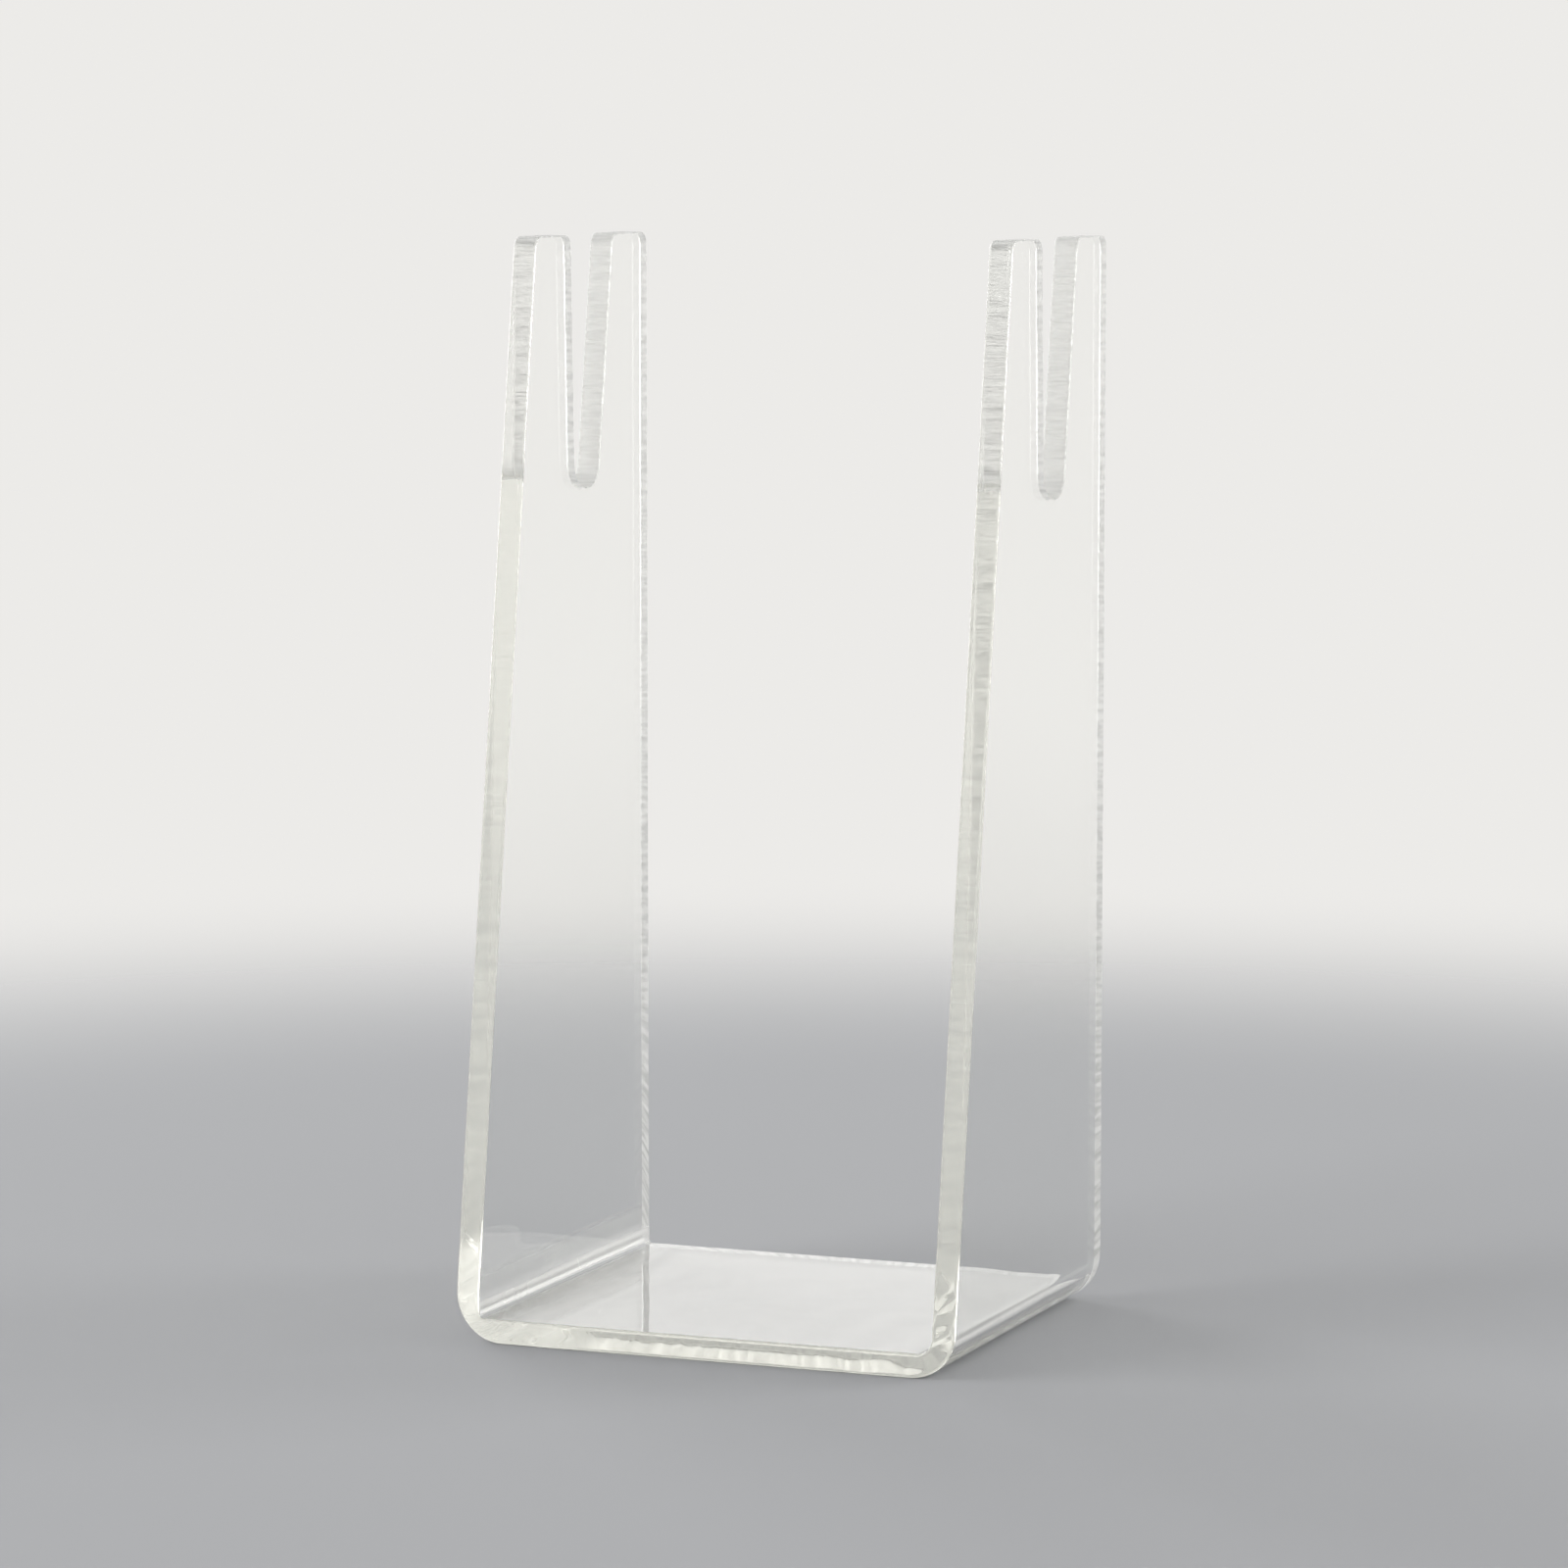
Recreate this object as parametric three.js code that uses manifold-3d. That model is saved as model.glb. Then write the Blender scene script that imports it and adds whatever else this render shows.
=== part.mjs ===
import * as THREE from "three";
import { mergeVertices, toCreasedNormals } from "three/addons/utils/BufferGeometryUtils.js";
import Module from "manifold-3d";

// A small display stand made from one clear acrylic sheet, cut flat and then hot bent into a U.
// Two upright walls rise from the ends of a flat base, and each has a slot that opens at its top.
// Lengths are in millimetres. Z is up, the front faces -Y, and the origin lies on the table
// under the middle of the base.

const wasm = await Module();
wasm.setup();

// The sheet and its bends, which are tighter inside than the sheet is thick, so it thins there
const overallWidth = 61;
const sheetThickness = 2.8;
const outsideBendRadius = 5.6;
const insideBendRadius = 1.2;

// The side outline, the same for both walls: an upright back edge and a front edge that leans back
const baseDepth = 50;
const standHeight = 126;
const frontProngWidth = 10;
const backProngWidth = 10.5;
const tipCornerRadius = 1.5;

// The slot narrows from its mouth down to a rounded seat
const slotMouthWidth = 12;
const slotSeatWidth = 6.6;
const slotSeatRadius = 3.2;
const slotDepth = 29.6;
const slotSeatFromBack = 15;

// How far each extrusion runs past what it is cut by
const cutOverrun = 5;

const arcSteps = 16;
const creaseAngle = Math.PI / 6;

const acrylic = {
  color: 0xf1f4ee,
  roughness: 0.06,
  metalness: 0,
  transparent: true,
  opacity: 0.35,
};

function corner(x, y, radius = 0) {
  return { point: new THREE.Vector2(x, y), radius };
}

// The arc that rounds a corner, tangent to both its sides
function cornerArc(last, { point, radius }, next) {
  const toLast = last.point.clone().sub(point).normalize();
  const toNext = next.point.clone().sub(point).normalize();
  const halfAngle = toLast.angleTo(toNext) / 2;
  const alongSide = radius / Math.tan(halfAngle);
  const bisector = toLast.clone().add(toNext).normalize();
  const centre = point.clone().addScaledVector(bisector, radius / Math.sin(halfAngle));
  const start = point.clone().addScaledVector(toLast, alongSide).sub(centre).angle();
  const end = point.clone().addScaledVector(toNext, alongSide).sub(centre).angle();
  const turnsRight = toLast.cross(toNext) > 0;
  return new THREE.EllipseCurve(centre.x, centre.y, radius, radius, start, end, turnsRight);
}

// A closed outline through the corners, sharp where a corner has no radius
function roundedOutline(corners) {
  const points = corners.flatMap((here, index) => {
    if (here.radius === 0) return [here.point];
    const next = corners[(index + 1) % corners.length];
    return cornerArc(corners.at(index - 1), here, next).getPoints(arcSteps);
  });
  return new THREE.Shape(points);
}

// Front view: the base and both walls, with the outer and inner arc of each bend
function bentSheetOutline() {
  const outer = overallWidth / 2;
  const inner = outer - sheetThickness;
  const top = standHeight + cutOverrun;
  return roundedOutline([
    corner(-outer, top),
    corner(-outer, 0, outsideBendRadius),
    corner(outer, 0, outsideBendRadius),
    corner(outer, top),
    corner(inner, top),
    corner(inner, sheetThickness, insideBendRadius),
    corner(-inner, sheetThickness, insideBendRadius),
    corner(-inner, top),
  ]);
}

// Side view: a wall with its two prongs, the slot between them, and a front edge that is upright
// as high as the bend reaches and leans back above it
function sideOutline() {
  const back = baseDepth / 2;
  const mouthBack = back - backProngWidth;
  const mouthFront = mouthBack - slotMouthWidth;
  const seatBack = back - slotSeatFromBack;
  const seatFront = seatBack - slotSeatWidth;
  const seat = standHeight - slotDepth;
  return roundedOutline([
    corner(-back, -cutOverrun),
    corner(back, -cutOverrun),
    corner(back, standHeight, tipCornerRadius),
    corner(mouthBack, standHeight, tipCornerRadius),
    corner(seatBack, seat, slotSeatRadius),
    corner(seatFront, seat, slotSeatRadius),
    corner(mouthFront, standHeight, tipCornerRadius),
    corner(mouthFront - frontProngWidth, standHeight, tipCornerRadius),
    corner(-back, outsideBendRadius),
  ]);
}

// An outline pushed out evenly to both sides, its own x, y and z turned to the three directions
function extruded(outline, length, directions) {
  const geometry = new THREE.ExtrudeGeometry(outline, { depth: length, bevelEnabled: false });
  geometry.translate(0, 0, -length / 2);
  return geometry.applyMatrix4(new THREE.Matrix4().makeBasis(...directions));
}

function solidFrom(geometry) {
  geometry.deleteAttribute("normal");
  geometry.deleteAttribute("uv");
  const merged = mergeVertices(geometry);
  const mesh = new wasm.Mesh({
    numProp: 3,
    vertProperties: new Float32Array(merged.attributes.position.array),
    triVerts: new Uint32Array(merged.index.array),
  });
  return new wasm.Manifold(mesh);
}

function geometryFrom(solid) {
  const mesh = solid.getMesh();
  const geometry = new THREE.BufferGeometry();
  geometry.setAttribute("position", new THREE.BufferAttribute(mesh.vertProperties, mesh.numProp));
  geometry.setIndex(new THREE.BufferAttribute(mesh.triVerts, 1));
  return toCreasedNormals(geometry, creaseAngle);
}

// The bent sheet is what the front view, run through from front to back, and the side view,
// run through from wall to wall, have in common
function bentStand() {
  const x = new THREE.Vector3(1, 0, 0);
  const y = new THREE.Vector3(0, 1, 0);
  const z = new THREE.Vector3(0, 0, 1);
  const throughDepth = extruded(bentSheetOutline(), baseDepth + 2 * cutOverrun, [x, z, y.clone().negate()]);
  const throughWidth = extruded(sideOutline(), overallWidth + 2 * cutOverrun, [y, z, x]);
  const stand = solidFrom(throughDepth).intersect(solidFrom(throughWidth));
  const mesh = new THREE.Mesh(geometryFrom(stand), new THREE.MeshStandardMaterial(acrylic));
  mesh.name = "bent_acrylic_stand";
  return mesh;
}

const stand = new THREE.Group();
stand.add(bentStand());

export default stand;
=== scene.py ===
import math

import bmesh
import bpy
import numpy as np
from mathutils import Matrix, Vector


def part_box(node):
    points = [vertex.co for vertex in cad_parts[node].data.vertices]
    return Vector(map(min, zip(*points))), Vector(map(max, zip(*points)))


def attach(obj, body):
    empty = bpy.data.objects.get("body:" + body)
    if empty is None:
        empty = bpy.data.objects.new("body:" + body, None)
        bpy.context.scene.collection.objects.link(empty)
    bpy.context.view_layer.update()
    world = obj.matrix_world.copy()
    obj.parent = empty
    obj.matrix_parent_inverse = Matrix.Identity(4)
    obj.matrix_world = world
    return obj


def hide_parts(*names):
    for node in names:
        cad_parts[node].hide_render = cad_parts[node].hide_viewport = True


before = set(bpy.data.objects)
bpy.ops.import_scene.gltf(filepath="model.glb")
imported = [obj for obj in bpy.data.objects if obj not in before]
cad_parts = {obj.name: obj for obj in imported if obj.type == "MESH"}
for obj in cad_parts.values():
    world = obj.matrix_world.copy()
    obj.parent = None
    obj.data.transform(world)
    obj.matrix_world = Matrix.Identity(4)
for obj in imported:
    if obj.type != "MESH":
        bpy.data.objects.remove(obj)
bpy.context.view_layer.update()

# A clear acrylic display stand: one sheet, laser cut flat and hot bent into a U.
# Metres, Z up, the front towards -Y. The sheet is worked out flat first, as p along its length
# from the middle of the base, y across it and n into it from the outer face, and then bent.

mm = 0.001
standNode = "bent_acrylic_stand"
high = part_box(standNode)[1]

sheet = {
    "thickness": 2.8 * mm,
    "outsideBendRadius": 5.6 * mm,
    "insideBendRadii": (0.5 * mm, 1.9 * mm),    # the left bend came out sharper than the right one
    "frontProngWidth": 10 * mm,
    "backProngWidth": 10.5 * mm,
    "tipRadius": 1.5 * mm,
    "slotMouthWidth": 12 * mm,
    "slotSeatWidth": 6.6 * mm,
    "seatRadius": 3.2 * mm,
    "slotDepth": 29.6 * mm,
    "seatFromBack": 15 * mm,
    "edgeRound": 0.2 * mm,          # the melted corner between a face and a cut edge
    # Laser lines run across the thickness of a cut edge: how far apart, how deep, how far they lag
    "lineSpacings": (1.05 * mm, 1.42 * mm, 2.4 * mm),
    "lineDepths": (0.018 * mm, 0.014 * mm, 0.03 * mm),
    "lineLags": (0.5 * mm, -0.3 * mm, 0.7 * mm),
    "linesPerSwell": 9,             # how many pass while their depth swells and fades once
    "linesPerWander": 5,            # how many pass while their spacing widens and narrows once
    "lineWander": 0.9,              # how far that moves them, in radians of their own wave
    "frontLineShare": 0.4,          # how deep they are on the front edge beside the back one
    "kerfTaper": 0.03 * mm,         # how much further in the cut lies at the inner face
    # The bending heat: the outer side of a bend draws in, the faces ripple beside it, and the
    # inner layers are pushed along the wall as far up as the heat softened it
    "drawIn": 0.18 * mm,
    "drawInReach": 0.7,             # of the bend's middle radius
    "rippleDepth": 0.035 * mm,
    "rippleSpacing": 7 * mm,
    "rippleSlant": 40,              # radians for each metre across the sheet
    "rippleWander": 170,            # the same, for the way they wander
    "rippleReach": 13 * mm,
    "softenedHeight": 30 * mm,
    # The mesh: how finely each part of it is divided
    "rowStep": 0.3 * mm,
    "supportStep": 0.12 * mm,       # a narrow column that keeps the faces flat up to their rims
    "bendRows": 30,
    "seatRows": 22,
    "tipRows": 12,
    "faceColumns": 6,
    "cornerColumns": 4,
    "edgeColumns": 9,
    "weld": 0.001 * mm,             # points closer than this become one
}

halfWidth = high.x
back = high.y
standHeight = high.z
outsideRadius = sheet["outsideBendRadius"]
midRadius = (outsideRadius + sum(sheet["insideBendRadii"]) / 2) / 2
baseHalf = halfWidth - outsideRadius
bendEnd = baseHalf + midRadius * math.pi / 2
seatLevel = standHeight - sheet["slotDepth"]
mouthBack = back - sheet["backProngWidth"]
mouthFront = mouthBack - sheet["slotMouthWidth"]
frontTop = mouthFront - sheet["frontProngWidth"]
lean = (frontTop + back) / (standHeight - outsideRadius)
standCentre = Vector((0, 0, standHeight / 2))


# Where two points (y, z) of an edge line put it at the height given, and its slope in y over z
def edgeLine(lower, upper, level):
    slope = (upper[0] - lower[0]) / (upper[1] - lower[1])
    return lower[0] + slope * (level - lower[1]), slope


# An edge's y at each z: a leaning line moved sideways, then the arc of the given radius that is
# tangent to it and to the level line. side is where the rounded shape lies, below or above it
def roundedEdge(z, line, level, shift, radius, side, above):
    at, slope = line
    secant = math.hypot(1, slope)
    straight = at + shift * secant + slope * (z - level)
    centreZ = level + above * radius
    centreY = at + shift * secant + slope * above * radius + side * radius * secant
    tangentZ = centreZ + side * radius * slope / secant
    arc = centreY - side * np.sqrt(np.maximum(radius ** 2 - (z - centreZ) ** 2, 0))
    return np.where((z - tangentZ) * above < 0, arc, straight)


# The rows of one half of the sheet and the y of its four edges at each row, drawn in by inset.
# Steps are even on the flats and the bend and follow the angle round the seat and the tips
def sheetRows(inset):
    top = standHeight - inset
    seat = seatLevel - inset
    seatRadius = sheet["seatRadius"] + inset
    tipRadius = sheet["tipRadius"] - inset
    step = sheet["rowStep"]
    baseRows = np.linspace(0, baseHalf, round(baseHalf / step), endpoint=False)
    bendRows = np.linspace(baseHalf, bendEnd, sheet["bendRows"], endpoint=False)
    wallZ = np.linspace(outsideRadius, seat, round((seatLevel - outsideRadius) / step), endpoint=False)
    seatAngle = np.linspace(0, math.pi / 2, sheet["seatRows"], endpoint=False)
    seatZ = seat + seatRadius * (1 - np.cos(seatAngle))
    flankStart, flankEnd = seat + seatRadius, top - tipRadius
    flankZ = np.linspace(flankStart, flankEnd, round(sheet["slotDepth"] / step), endpoint=False)
    tipZ = flankEnd + tipRadius * np.sin(np.linspace(0, math.pi / 2, sheet["tipRows"]))
    z = np.concatenate([wallZ, seatZ, flankZ, tipZ])
    seatBack = back - sheet["seatFromBack"]
    seatFront = seatBack - sheet["slotSeatWidth"]
    frontPoints = (-back, outsideRadius), (frontTop, standHeight)
    slotFrontPoints = (seatFront, seatLevel), (mouthFront, standHeight)
    slotBackPoints = (seatBack, seatLevel), (mouthBack, standHeight)
    backPoints = (back, 0), (back, standHeight)
    upperHalf = z > (seatLevel + standHeight) / 2

    def tipEdge(points, side):
        return roundedEdge(z, edgeLine(*points, top), top, side * inset, tipRadius, side, -1)

    def slotEdge(points, side):
        seatEdge = roundedEdge(z, edgeLine(*points, seat), seat, side * inset, seatRadius, -side, 1)
        return np.where(upperHalf, tipEdge(points, side), seatEdge)

    front, slotFront = tipEdge(frontPoints, 1), slotEdge(slotFrontPoints, -1)
    slotBack, rear = slotEdge(slotBackPoints, 1), tipEdge(backPoints, -1)
    lower = np.ones(len(baseRows) + len(bendRows))
    belowSeat = z < seat
    seatRow = len(lower) + len(wallZ)
    slotFront = np.where(belowSeat, slotFront[len(wallZ)], slotFront)
    slotBack = np.where(belowSeat, slotBack[len(wallZ)], slotBack)
    return {
        "p": np.concatenate([baseRows, bendRows, bendEnd + z - outsideRadius]),
        "front": np.concatenate([lower * (inset - back), front]),
        "slotFront": np.concatenate([lower * slotFront[0], slotFront]),
        "slotBack": np.concatenate([lower * slotBack[0], slotBack]),
        "rear": np.concatenate([lower * (back - inset), rear]),
        "seatRow": seatRow,
    }


# y at each row and column between two edges: even steps, with one narrow step at each end
def acrossProng(start, end):
    support = sheet["supportStep"]
    inner = np.linspace(0, 1, sheet["faceColumns"])
    middle = (start + support)[:, None] + (end - start - 2 * support)[:, None] * inner
    return np.concatenate([start[:, None], middle, end[:, None]], axis=1)


# The whole cut outline as one closed loop of (p, y): the right half from the middle of its front
# edge round to the middle of its back edge, then its mirror image the other way
def outlineLoop(rows):
    p, seatRow = rows["p"], rows["seatRow"]
    flank = slice(seatRow, None)
    frontTip = acrossProng(rows["front"][-1:], rows["slotFront"][-1:])[0, 1:-1]
    backTip = acrossProng(rows["slotBack"][-1:], rows["rear"][-1:])[0, 1:-1]
    pieces = [
        (p, rows["front"]),
        (np.full(len(frontTip), p[-1]), frontTip),
        (p[flank][::-1], rows["slotFront"][flank][::-1]),
        (p[flank], rows["slotBack"][flank]),
        (np.full(len(backTip), p[-1]), backTip),
        (p[::-1], rows["rear"][::-1]),
    ]
    half = np.array([np.concatenate(part) for part in zip(*pieces)])
    mirrored = half[:, ::-1][:, 1:-1] * np.array([[-1], [1]])
    return np.concatenate([half, mirrored], axis=1)


# Bends the flat sheet: straight along x, round a quarter circle, straight up. From the outer face
# to the inner one the circle's radius and centre change evenly, and the flats stretch to meet it.
# Beside a bend the sheet ripples towards the inside, and on it the outer side draws in from the
# edges. Where an inner layer slides along the wall, its front edge follows the leaning line
def bentSheet(p, y, n):
    along = np.abs(p)
    share = n / sheet["thickness"]
    insideRadius = np.where(p < 0, *sheet["insideBendRadii"])
    angle = np.clip((along - baseHalf) / midRadius, 0, math.pi / 2)
    fromBend = np.abs(along - (baseHalf + bendEnd) / 2)
    warm = np.exp(-(fromBend / sheet["rippleReach"]) ** 2)
    slant = sheet["rippleSlant"] * y + np.sin(sheet["rippleWander"] * y)
    wave = 1 + np.sin(2 * math.pi * along / sheet["rippleSpacing"] + slant)
    ripple = sheet["rippleDepth"] / 2 * wave * warm
    radius = outsideRadius + share * (insideRadius - outsideRadius) - ripple
    drift = share * (sheet["thickness"] + insideRadius - outsideRadius)
    upWall = np.maximum(along - bendEnd, 0)
    slide = drift * np.clip(1 - upWall / sheet["softenedHeight"], 0, 1)
    x = np.minimum(along / baseHalf, 1) * (baseHalf - drift) + radius * np.sin(angle)
    z = outsideRadius + upWall + slide - radius * np.cos(angle)
    onBend = np.exp(-(fromBend / (midRadius * sheet["drawInReach"])) ** 2)
    narrowed = y * (1 - sheet["drawIn"] / back * onBend * (1 - share) ** 2)
    frontShare = 0.5 - y / (2 * back)
    slid = narrowed + lean * np.maximum(slide, -upWall) * frontShare
    return np.stack([np.sign(p) * x, slid, z], axis=-1)


# How far the laser lines sink into a cut edge: three waves along the loop, each a whole number
# round it, sheared by their lag across the thickness, whose depth swells and fades along the way.
# They are shallower towards the front, and the cut's taper grows evenly from the outer face
def cutDepth(distance, y, n, length):
    depth = 0
    for spacing, deepest, lag in zip(sheet["lineSpacings"], sheet["lineDepths"], sheet["lineLags"]):
        count = round(length / spacing)
        turn = 2 * math.pi * (distance + lag * n / sheet["thickness"]) / length
        swell = 0.5 + 0.5 * np.sin(round(count / sheet["linesPerSwell"]) * turn + spacing / mm)
        wander = sheet["lineWander"] * np.sin(round(count / sheet["linesPerWander"]) * turn)
        depth = depth + deepest * swell * (0.5 + 0.5 * np.sin(count * turn + wander))
    frontShare = sheet["frontLineShare"]
    share = frontShare + (1 - frontShare) * (0.5 + 0.5 * y / back)
    return depth * share + sheet["kerfTaper"] * n / sheet["thickness"]


# The cut edge: the face's own outline carried out to the full one along a profile across the
# thickness, a quarter circle at each face and a straight run with laser lines between them
def cutEdge(inner, outer):
    rounding, thickness = sheet["edgeRound"], sheet["thickness"]
    angle = np.linspace(0, math.pi / 2, sheet["cornerColumns"])
    straight = np.linspace(rounding, thickness - rounding, sheet["edgeColumns"])[1:-1]
    arcIn, arcDown = np.sin(angle), rounding * (1 - np.cos(angle))
    outwards = np.concatenate([arcIn, np.ones(len(straight)), arcIn[::-1]])
    n = np.concatenate([arcDown, straight, thickness - arcDown[::-1]])
    closed = np.concatenate([outer, outer[:, :1]], axis=1)
    steps = np.hypot(*np.diff(closed, axis=1))
    distance = np.concatenate([[0], np.cumsum(steps)])
    inner = np.concatenate([inner, inner[:, :1]], axis=1)
    depth = cutDepth(distance[:, None], closed[1][:, None], n, distance[-1])
    reach = outwards * (1 - depth / rounding)
    p = inner[0][:, None] + (closed[0] - inner[0])[:, None] * reach
    y = inner[1][:, None] + (closed[1] - inner[1])[:, None] * reach
    n = np.broadcast_to(n, p.shape)
    return {"p": p, "y": y, "n": n, "u": distance[:, None] + 0 * p, "v": n, "cut": 1, "turned": False}


# The flat grids of one face at depth n: the body between the seats, and two prongs on each side
def facePatches(rows, n):
    p, seatRow = rows["p"], rows["seatRow"]
    outerFace = n == 0
    below = {name: rows[name][: seatRow + 1] for name in ("front", "slotFront", "slotBack", "rear")}
    body = np.concatenate([
        acrossProng(below["front"], below["slotFront"]),
        acrossProng(below["slotBack"], below["rear"]),
    ], axis=1)
    body = np.concatenate([body[:0:-1], body])
    bodyP = np.concatenate([-p[seatRow:0:-1], p[: seatRow + 1]])
    patches = [(bodyP, body, outerFace)]
    for start, end in (("front", "slotFront"), ("slotBack", "rear")):
        prong = acrossProng(rows[start][seatRow:], rows[end][seatRow:])
        patches.append((p[seatRow:], prong, outerFace))
        patches.append((-p[seatRow:], prong, not outerFace))
    made = []
    for rowP, y, turned in patches:
        wideP = np.broadcast_to(rowP[:, None], y.shape)
        wideN = np.full(y.shape, n)
        made.append({"p": wideP, "y": y, "n": wideN, "u": wideP, "v": y, "cut": 0, "turned": turned})
    return made


# Joins patches into one closed mesh. Each patch is a grid whose quads run row by row
def sheetMesh(name, patches):
    points, quads, flat, isCut = [], [], [], []
    first = 0
    for patch in patches:
        rowCount, columnCount = patch["p"].shape
        points.append(bentSheet(patch["p"], patch["y"], patch["n"]).reshape(-1, 3))
        index = first + np.arange(rowCount * columnCount).reshape(rowCount, columnCount)
        corners = [index[:-1, :-1], index[1:, :-1], index[1:, 1:], index[:-1, 1:]]
        if patch["turned"]:
            corners = corners[::-1]
        quads.append(np.stack(corners, axis=-1).reshape(-1, 4))
        flat.append(np.stack([patch["u"].ravel(), patch["v"].ravel()], axis=-1))
        isCut.append(np.full(len(quads[-1]), patch["cut"]))
        first += rowCount * columnCount
    points, quads, flat = np.concatenate(points), np.concatenate(quads), np.concatenate(flat)
    mesh = bpy.data.meshes.new(name)
    mesh.from_pydata(points.tolist(), [], quads.tolist())
    cutEdges = mesh.attributes.new("cutEdge", "FLOAT", "FACE")
    cutEdges.data.foreach_set("value", np.concatenate(isCut).astype(float))
    mesh.uv_layers.new(name="alongCut").data.foreach_set("uv", flat[quads.ravel()].ravel())
    mesh.polygons.foreach_set("use_smooth", np.ones(len(quads), bool))
    joined = bmesh.new()
    joined.from_mesh(mesh)
    bmesh.ops.remove_doubles(joined, verts=joined.verts, dist=sheet["weld"])
    openEdges = sum(1 for edge in joined.edges if not edge.is_manifold)
    volume = joined.calc_volume() / mm ** 3
    print("sheet:", len(joined.faces), "faces,", openEdges, "open edges,", volume, "mm3")
    joined.to_mesh(mesh)
    joined.free()
    return mesh


def bentStand():
    insetRows, fullRows = sheetRows(sheet["edgeRound"]), sheetRows(0)
    patches = facePatches(insetRows, 0) + facePatches(insetRows, sheet["thickness"])
    patches.append(cutEdge(outlineLoop(insetRows), outlineLoop(fullRows)))
    piece = bpy.data.objects.new("clear_stand", sheetMesh("clear_stand", patches))
    bpy.context.scene.collection.objects.link(piece)
    piece.data.materials.append(clearAcrylic(acrylic))
    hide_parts(standNode)
    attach(piece, "root")


# A socket's value as something to calculate with
class Field:
    def __init__(self, graph, socket):
        self.graph = graph
        self.socket = socket

    def maths(self, operation, first, second):
        return self.graph.node("ShaderNodeMath", {"operation": operation}, {0: first, 1: second})

    def __add__(self, other):
        return self.maths("ADD", self, other)

    def __radd__(self, other):
        return self.maths("ADD", other, self)

    def __sub__(self, other):
        return self.maths("SUBTRACT", self, other)

    def __rsub__(self, other):
        return self.maths("SUBTRACT", other, self)

    def __mul__(self, other):
        return self.maths("MULTIPLY", self, other)

    def __rmul__(self, other):
        return self.maths("MULTIPLY", other, self)


# The nodes of a material or of the world
class Graph:
    def __init__(self, owner):
        owner.use_nodes = True
        self.tree = owner.node_tree
        self.tree.nodes.clear()

    # One node of a type: its settings first, then the value or link of each socket
    def node(self, kind, settings={}, sockets={}, output=0):
        made = self.tree.nodes.new(kind)
        for name, setting in settings.items():
            if name == "stops":
                self.setStops(made.color_ramp, setting)
            else:
                setattr(made, name, setting)
        for name, value in sockets.items():
            if isinstance(value, Field):
                self.tree.links.new(value.socket, made.inputs[name])
            else:
                made.inputs[name].default_value = value
        return Field(self, made.outputs[output]) if made.outputs else None

    def setStops(self, ramp, stops):
        while len(ramp.elements) < len(stops):
            ramp.elements.new(0.5)
        for element, (position, colour) in zip(ramp.elements, stops):
            element.position = position
            element.color = (*colour, 1)


acrylic = {
    "tint": (0.995, 0.998, 0.992),
    "edgeTint": (0.985, 0.985, 0.97),
    "ior": 1.49,
    "absorbed": (0.91, 0.91, 0.34),
    "absorption": 2.2,
    "faceRoughness": 0.012,
    "smudgedShares": (0.6, 0.9),    # of that roughness, what is everywhere and what smudges add
    "edgeRoughness": 0.16,
    "bandedShares": (0.45, 1.1),    # the same, for the bands that the laser left
    "lineBump": 0.06 * mm,
    "bandBumpShare": 0.8,           # how high the bands stand beside the fine lines
    "frost": 0.76,                  # how much of a cut edge the laser left frosted, at most
    "beaded": 0.4,                  # how much less of it is frosted between the beads
    "frostThrough": 0.5,            # the share of the light it scatters that goes through frost
    "polished": 0.9,                # how much less rough and frosted the polished front edge is
    "dust": (0.9, 0.9, 0.88),
    "dustThrough": 0.1,             # the share of the light it scatters that goes through dust
    "rubbed": 0.88,                 # how much of the underside the dust and rub marks cover
    "faceHaze": 0.012,              # the same for all the other faces
    "rubbedTop": 1.4 * mm,          # how far up the bends the underside's marks reach
    "rubbedCore": 0.1,              # the share of that height which is fully rubbed
    "evenHaze": 0.5,                # how thick the haze is where it has no smudges
    "scratchHaze": 0.25,            # how much a scratch adds to it
    "dulled": 0.36,                 # how much of the sharper, left bend the heater dulled
    "dulledReach": 2.6 * mm,
    "dulledCore": 0.4,              # the share of that reach which is fully dulled
    # How many grains a metre holds, along a cut edge and across it, or along the faces
    "fineGrain": (3200, 260, 1),
    "bandGrain": (420, 90, 1),
    "beadGrain": (1100, 120, 1),
    "beadRange": (0.36, 0.6),       # the noise below the first is no bead, above the second all
    "smudgeGrain": 46,
    "scratchGrain": ((0.5, 1700), (-0.9, 1300), (1.9, 1500)),   # after the way they run, in radians
    "scratchLengths": 90,           # how many of their lengths a metre holds
    "scratchRange": (0.72, 0.8),    # the same as for the beads
}


# The peaks of a noise: nothing below the range, everything above it
def noisePeaks(graph, noise, span):
    return graph.node("ShaderNodeMapRange", {}, {
        "Value": noise,
        "From Min": span[0],
        "From Max": span[1],
    })


# Hairline scratches: noise stretched along slanting directions, of which the peaks are kept
def hairlines(graph, flat, look):
    total = 0
    for turn, across in look["scratchGrain"]:
        stretched = graph.node("ShaderNodeMapping", {"vector_type": "TEXTURE"}, {
            "Vector": flat,
            "Rotation": (0, 0, turn),
            "Scale": (1 / look["scratchLengths"], 1 / across, 1),
        })
        grain = graph.node("ShaderNodeTexNoise", {}, {"Vector": stretched, "Scale": 1, "Detail": 1})
        total = total + noisePeaks(graph, grain, look["scratchRange"])
    return total


# Noise on the flat sheet's own map, with so many grains to a metre each way
def grainNoise(graph, flat, grain, detail):
    scaled = graph.node("ShaderNodeMapping", {}, {"Vector": flat, "Scale": grain})
    return graph.node("ShaderNodeTexNoise", {}, {"Vector": scaled, "Scale": 1, "Detail": detail})


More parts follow.
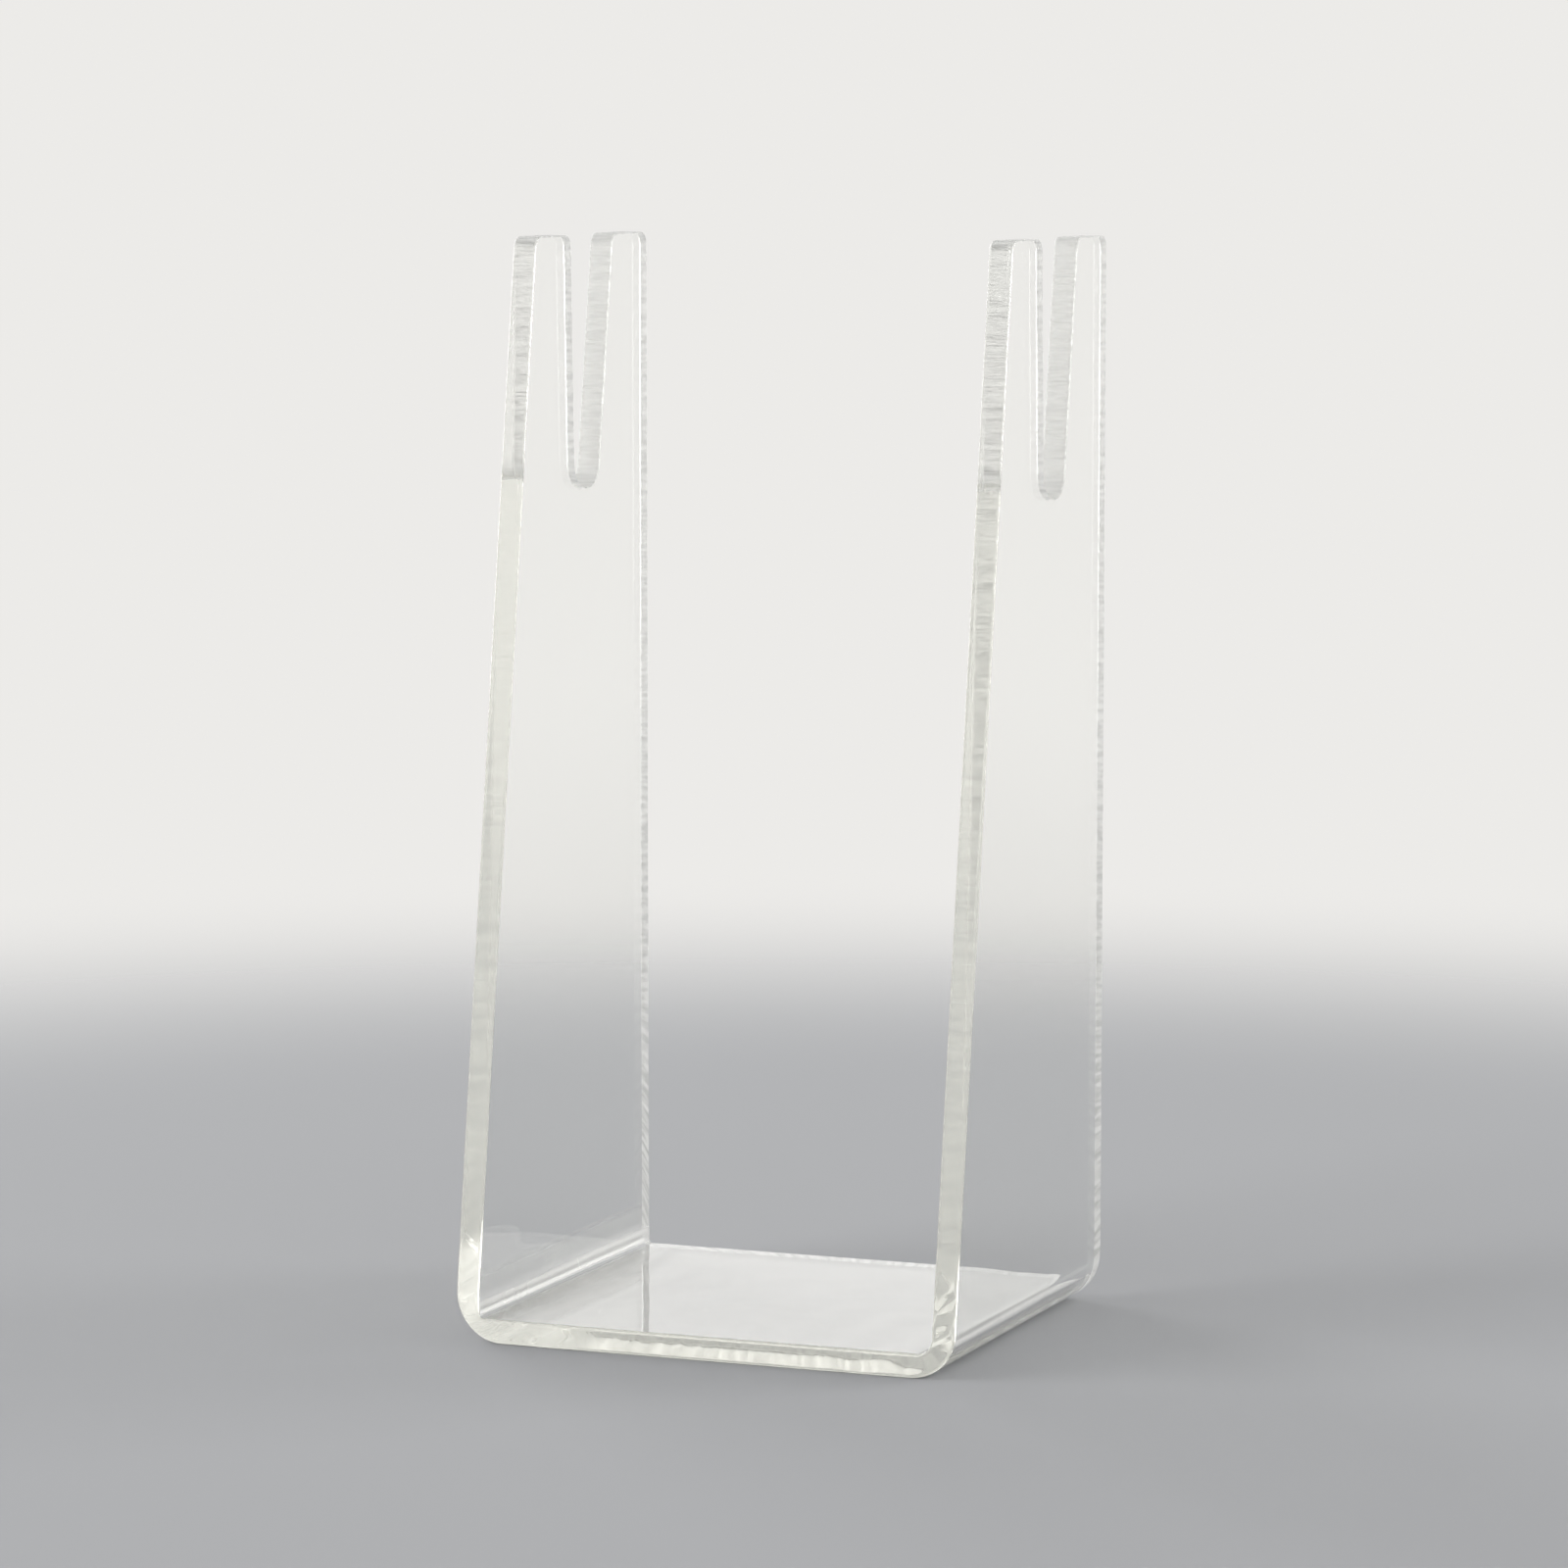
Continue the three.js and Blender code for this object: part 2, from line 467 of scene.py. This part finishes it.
def clearAcrylic(look):
    material = bpy.data.materials.new("clear acrylic")
    graph = Graph(material)
    place = graph.node("ShaderNodeTexCoord", output="Object")
    flat = graph.node("ShaderNodeTexCoord", output="UV")
    cut = graph.node("ShaderNodeAttribute", {"attribute_name": "cutEdge"}, output="Fac")
    # The front edge, base and walls alike, is polished. The other cut edges are as the laser left them
    atFront = graph.node("ShaderNodeMapRange", {}, {
        "Value": graph.node("ShaderNodeSeparateXYZ", {}, {"Vector": place}, "Y"),
        "From Min": frontTop,
        "From Max": frontTop + sheet["tipRadius"],
        "To Min": look["polished"],
        "To Max": 0,
    })
    rough = cut * (1 - atFront)
    # Laser lines: noise that changes quickly along the cut and slowly across the thickness
    fineLines = grainNoise(graph, flat, look["fineGrain"], 2)
    bands = grainNoise(graph, flat, look["bandGrain"], 2)
    beads = noisePeaks(graph, grainNoise(graph, flat, look["beadGrain"], 1), look["beadRange"])
    smudges = graph.node("ShaderNodeTexNoise", {}, {
        "Vector": place,
        "Scale": look["smudgeGrain"],
        "Detail": 4,
    })
    clean, smudged = look["smudgedShares"]
    plain, banded = look["bandedShares"]
    faceRoughness = look["faceRoughness"] * (clean + smudged * smudges)
    roughness = faceRoughness + rough * look["edgeRoughness"] * (plain + banded * bands)
    tint = graph.node(
        "ShaderNodeMix", {"data_type": "RGBA"},
        {"Factor": cut * bands, "A": (*look["tint"], 1), "B": (*look["edgeTint"], 1)}, "Result",
    )
    lines = graph.node("ShaderNodeBump", {}, {
        "Strength": 1,
        "Distance": look["lineBump"],
        "Height": rough * (fineLines + look["bandBumpShare"] * bands),
    })
    clear = graph.node("ShaderNodeBsdfPrincipled", {}, {
        "Base Color": tint,
        "Roughness": roughness,
        "IOR": look["ior"],
        "Transmission Weight": 1,
        "Normal": lines,
    })
    # Dust and rub marks scatter light to both sides, most of them on the underside. Light that is
    # totally reflected inside the sheet never meets them
    underside = graph.node("ShaderNodeMapRange", {"interpolation_type": "SMOOTHSTEP"}, {
        "Value": graph.node("ShaderNodeSeparateXYZ", {}, {"Vector": place}, "Z"),
        "From Min": look["rubbedCore"] * look["rubbedTop"],
        "From Max": look["rubbedTop"],
        "To Min": 1,
        "To Max": 0,
    })
    fromBend = graph.node("ShaderNodeSeparateXYZ", {}, {"Vector": flat}, "X") + bendEnd
    dull = graph.node("ShaderNodeMapRange", {"interpolation_type": "SMOOTHSTEP"}, {
        "Value": fromBend * fromBend,
        "From Min": (look["dulledCore"] * look["dulledReach"]) ** 2,
        "From Max": look["dulledReach"] ** 2,
        "To Min": look["dulled"],
        "To Max": 0,
    })
    haze = look["faceHaze"] + (look["rubbed"] - look["faceHaze"]) * underside + dull
    reflected = graph.node("ShaderNodeFresnel", {}, {"IOR": look["ior"]})
    marks = look["evenHaze"] + smudges + look["scratchHaze"] * hairlines(graph, flat, look)
    dusty = haze * marks * (1 - reflected)
    frosted = rough * look["frost"] * (1 - look["beaded"] + look["beaded"] * beads)
    cover = dusty * (1 - cut) + frosted
    through = look["dustThrough"] + (look["frostThrough"] - look["dustThrough"]) * cut
    dustFront = graph.node("ShaderNodeBsdfDiffuse", {}, {"Color": (*look["dust"], 1)})
    dustBack = graph.node("ShaderNodeBsdfTranslucent", {}, {"Color": (*look["dust"], 1)})
    dust = graph.node("ShaderNodeMixShader", {}, {0: through, 1: dustFront, 2: dustBack})
    shader = graph.node("ShaderNodeMixShader", {}, {0: cover, 1: clear, 2: dust})
    absorbed = graph.node("ShaderNodeVolumeAbsorption", {}, {
        "Color": (*look["absorbed"], 1),
        "Density": look["absorption"],
    })
    graph.node("ShaderNodeOutputMaterial", {}, {"Surface": shader, "Volume": absorbed})
    return material


studio = {
    "sky": (                        # the sine of the elevation, and the colour there
        (0.1, (0.84, 0.83, 0.81)),
        (0.18, (1.46, 1.45, 1.43)),
        (0.5, (0.7, 0.7, 0.7)),
        (0.95, (0.42, 0.42, 0.43)),
    ),
    # Grey shades: azimuth from +Y towards +X, elevation and radius in degrees, and grey level
    "shades": (
        (-150, -16, 28, 0.4),
        (-24, 5.3, 4.2, 0.42),
        (22, -18, 13, 0.05),
    ),
    "shadeCore": 1 / 3,             # the share of its radius where a shade has its full grey
    "floor": (0.416, 0.421, 0.431),
    "floorFadeStart": 0.16,         # how far from its middle the floor starts to fade
    "floorFadeEnd": 0.42,
    "floorSize": 6,
    "floorGap": 0.05 * mm,          # how far it lies below the stand
}


# The world: the pale backdrop at eye level, a brighter band above it and a darker ceiling. Soft
# grey shades at eye level and below give the bends and cut edges something darker to show
def paleWorld(look):
    world = bpy.data.worlds.new("pale studio")
    bpy.context.scene.world = world
    graph = Graph(world)
    direction = graph.node("ShaderNodeTexCoord", output="Generated")
    height = graph.node("ShaderNodeSeparateXYZ", {}, {"Vector": direction}, "Z")
    colour = graph.node("ShaderNodeValToRGB", {"stops": look["sky"]}, {"Fac": height})
    for azimuth, elevation, radius, level in look["shades"]:
        turn, lift = math.radians(azimuth), math.radians(elevation)
        centre = (math.sin(turn) * math.cos(lift), math.cos(turn) * math.cos(lift), math.sin(lift))
        sides = {0: direction, 1: centre}
        facing = graph.node("ShaderNodeVectorMath", {"operation": "DOT_PRODUCT"}, sides, "Value")
        inside = graph.node("ShaderNodeMapRange", {"interpolation_type": "SMOOTHSTEP"}, {
            "Value": facing,
            "From Min": math.cos(math.radians(radius)),
            "From Max": math.cos(math.radians(radius * look["shadeCore"])),
        })
        colour = graph.node(
            "ShaderNodeMix", {"data_type": "RGBA"},
            {"Factor": inside, "A": colour, "B": (level, level, level, 1)}, "Result",
        )
    light = graph.node("ShaderNodeBackground", {}, {"Color": colour, "Strength": 1})
    graph.node("ShaderNodeOutputWorld", {}, {"Surface": light})


# The floor: a large plane whose middle is a pale matt surface and whose rim is see-through,
# so that it runs into the backdrop all round
def paleFloor(look):
    size = look["floorSize"] / 2
    corners = np.array([(-size, -size, 0), (size, -size, 0), (size, size, 0), (-size, size, 0)])
    corners[:, 2] = -look["floorGap"]
    mesh = bpy.data.meshes.new("floor")
    mesh.from_pydata(corners.tolist(), [], [(0, 1, 2, 3)])
    floor = bpy.data.objects.new("floor", mesh)
    bpy.context.scene.collection.objects.link(floor)
    material = bpy.data.materials.new("pale floor")
    graph = Graph(material)
    place = graph.node("ShaderNodeTexCoord", output="Object")
    distance = graph.node("ShaderNodeVectorMath", {"operation": "LENGTH"}, {0: place}, "Value")
    fade = graph.node("ShaderNodeMapRange", {"interpolation_type": "SMOOTHERSTEP"}, {
        "Value": distance,
        "From Min": look["floorFadeStart"],
        "From Max": look["floorFadeEnd"],
    })
    matt = graph.node("ShaderNodeBsdfDiffuse", {}, {"Color": (*look["floor"], 1)})
    clear = graph.node("ShaderNodeBsdfTransparent")
    mixed = graph.node("ShaderNodeMixShader", {}, {0: fade, 1: matt, 2: clear})
    graph.node("ShaderNodeOutputMaterial", {}, {"Surface": mixed})
    mesh.materials.append(material)


# Softboxes: where each stands, its width and height, its power, all facing the stand
softboxes = {
    "key": ((-0.95, -0.75, 0.85), (1.0, 0.8), 8),
    "backLeft": ((-0.8, 0.6, 0.3), (0.5, 0.6), 4.5),
    "backRight": ((0.85, 0.55, 0.3), (0.5, 0.6), 4.5),
}


def placeSoftboxes(boxes):
    for name, (place, size, power) in boxes.items():
        light = bpy.data.lights.new(name, "AREA")
        light.shape = "RECTANGLE"
        light.size, light.size_y = size
        light.energy = power
        lamp = bpy.data.objects.new(name, light)
        lamp.location = place
        lamp.rotation_euler = (standCentre - Vector(place)).to_track_quat("-Z", "Y").to_euler()
        lamp.visible_camera = False
        bpy.context.scene.collection.objects.link(lamp)


view = {
    "azimuth": 21.8,
    "elevation": 6.4,
    "distance": 0.69,
    "lens": 137,
    "nearest": 0.01,                # where the camera starts to see
}


def placeCamera(look):
    turn, lift = math.radians(look["azimuth"]), math.radians(look["elevation"])
    towards = Vector((math.sin(turn) * math.cos(lift), -math.cos(turn) * math.cos(lift), math.sin(lift)))
    camera = bpy.data.objects.new("camera", bpy.data.cameras.new("camera"))
    camera.location = standCentre + look["distance"] * towards
    camera.rotation_euler = (-towards).to_track_quat("-Z", "Y").to_euler()
    camera.data.lens = look["lens"]
    camera.data.clip_start = look["nearest"]
    bpy.context.scene.collection.objects.link(camera)
    bpy.context.scene.camera = camera


print("stage: camera, floor, world and softboxes")
placeCamera(view)
paleWorld(studio)
paleFloor(studio)
placeSoftboxes(softboxes)

print("stand: the bent sheet")
bentStand()

scene = bpy.context.scene
scene.view_settings.view_transform = "Standard"
# Light turns back many times inside the clear sheet before it leaves through an edge
scene.cycles.max_bounces = 24
scene.cycles.glossy_bounces = 20
scene.cycles.transmission_bounces = 24
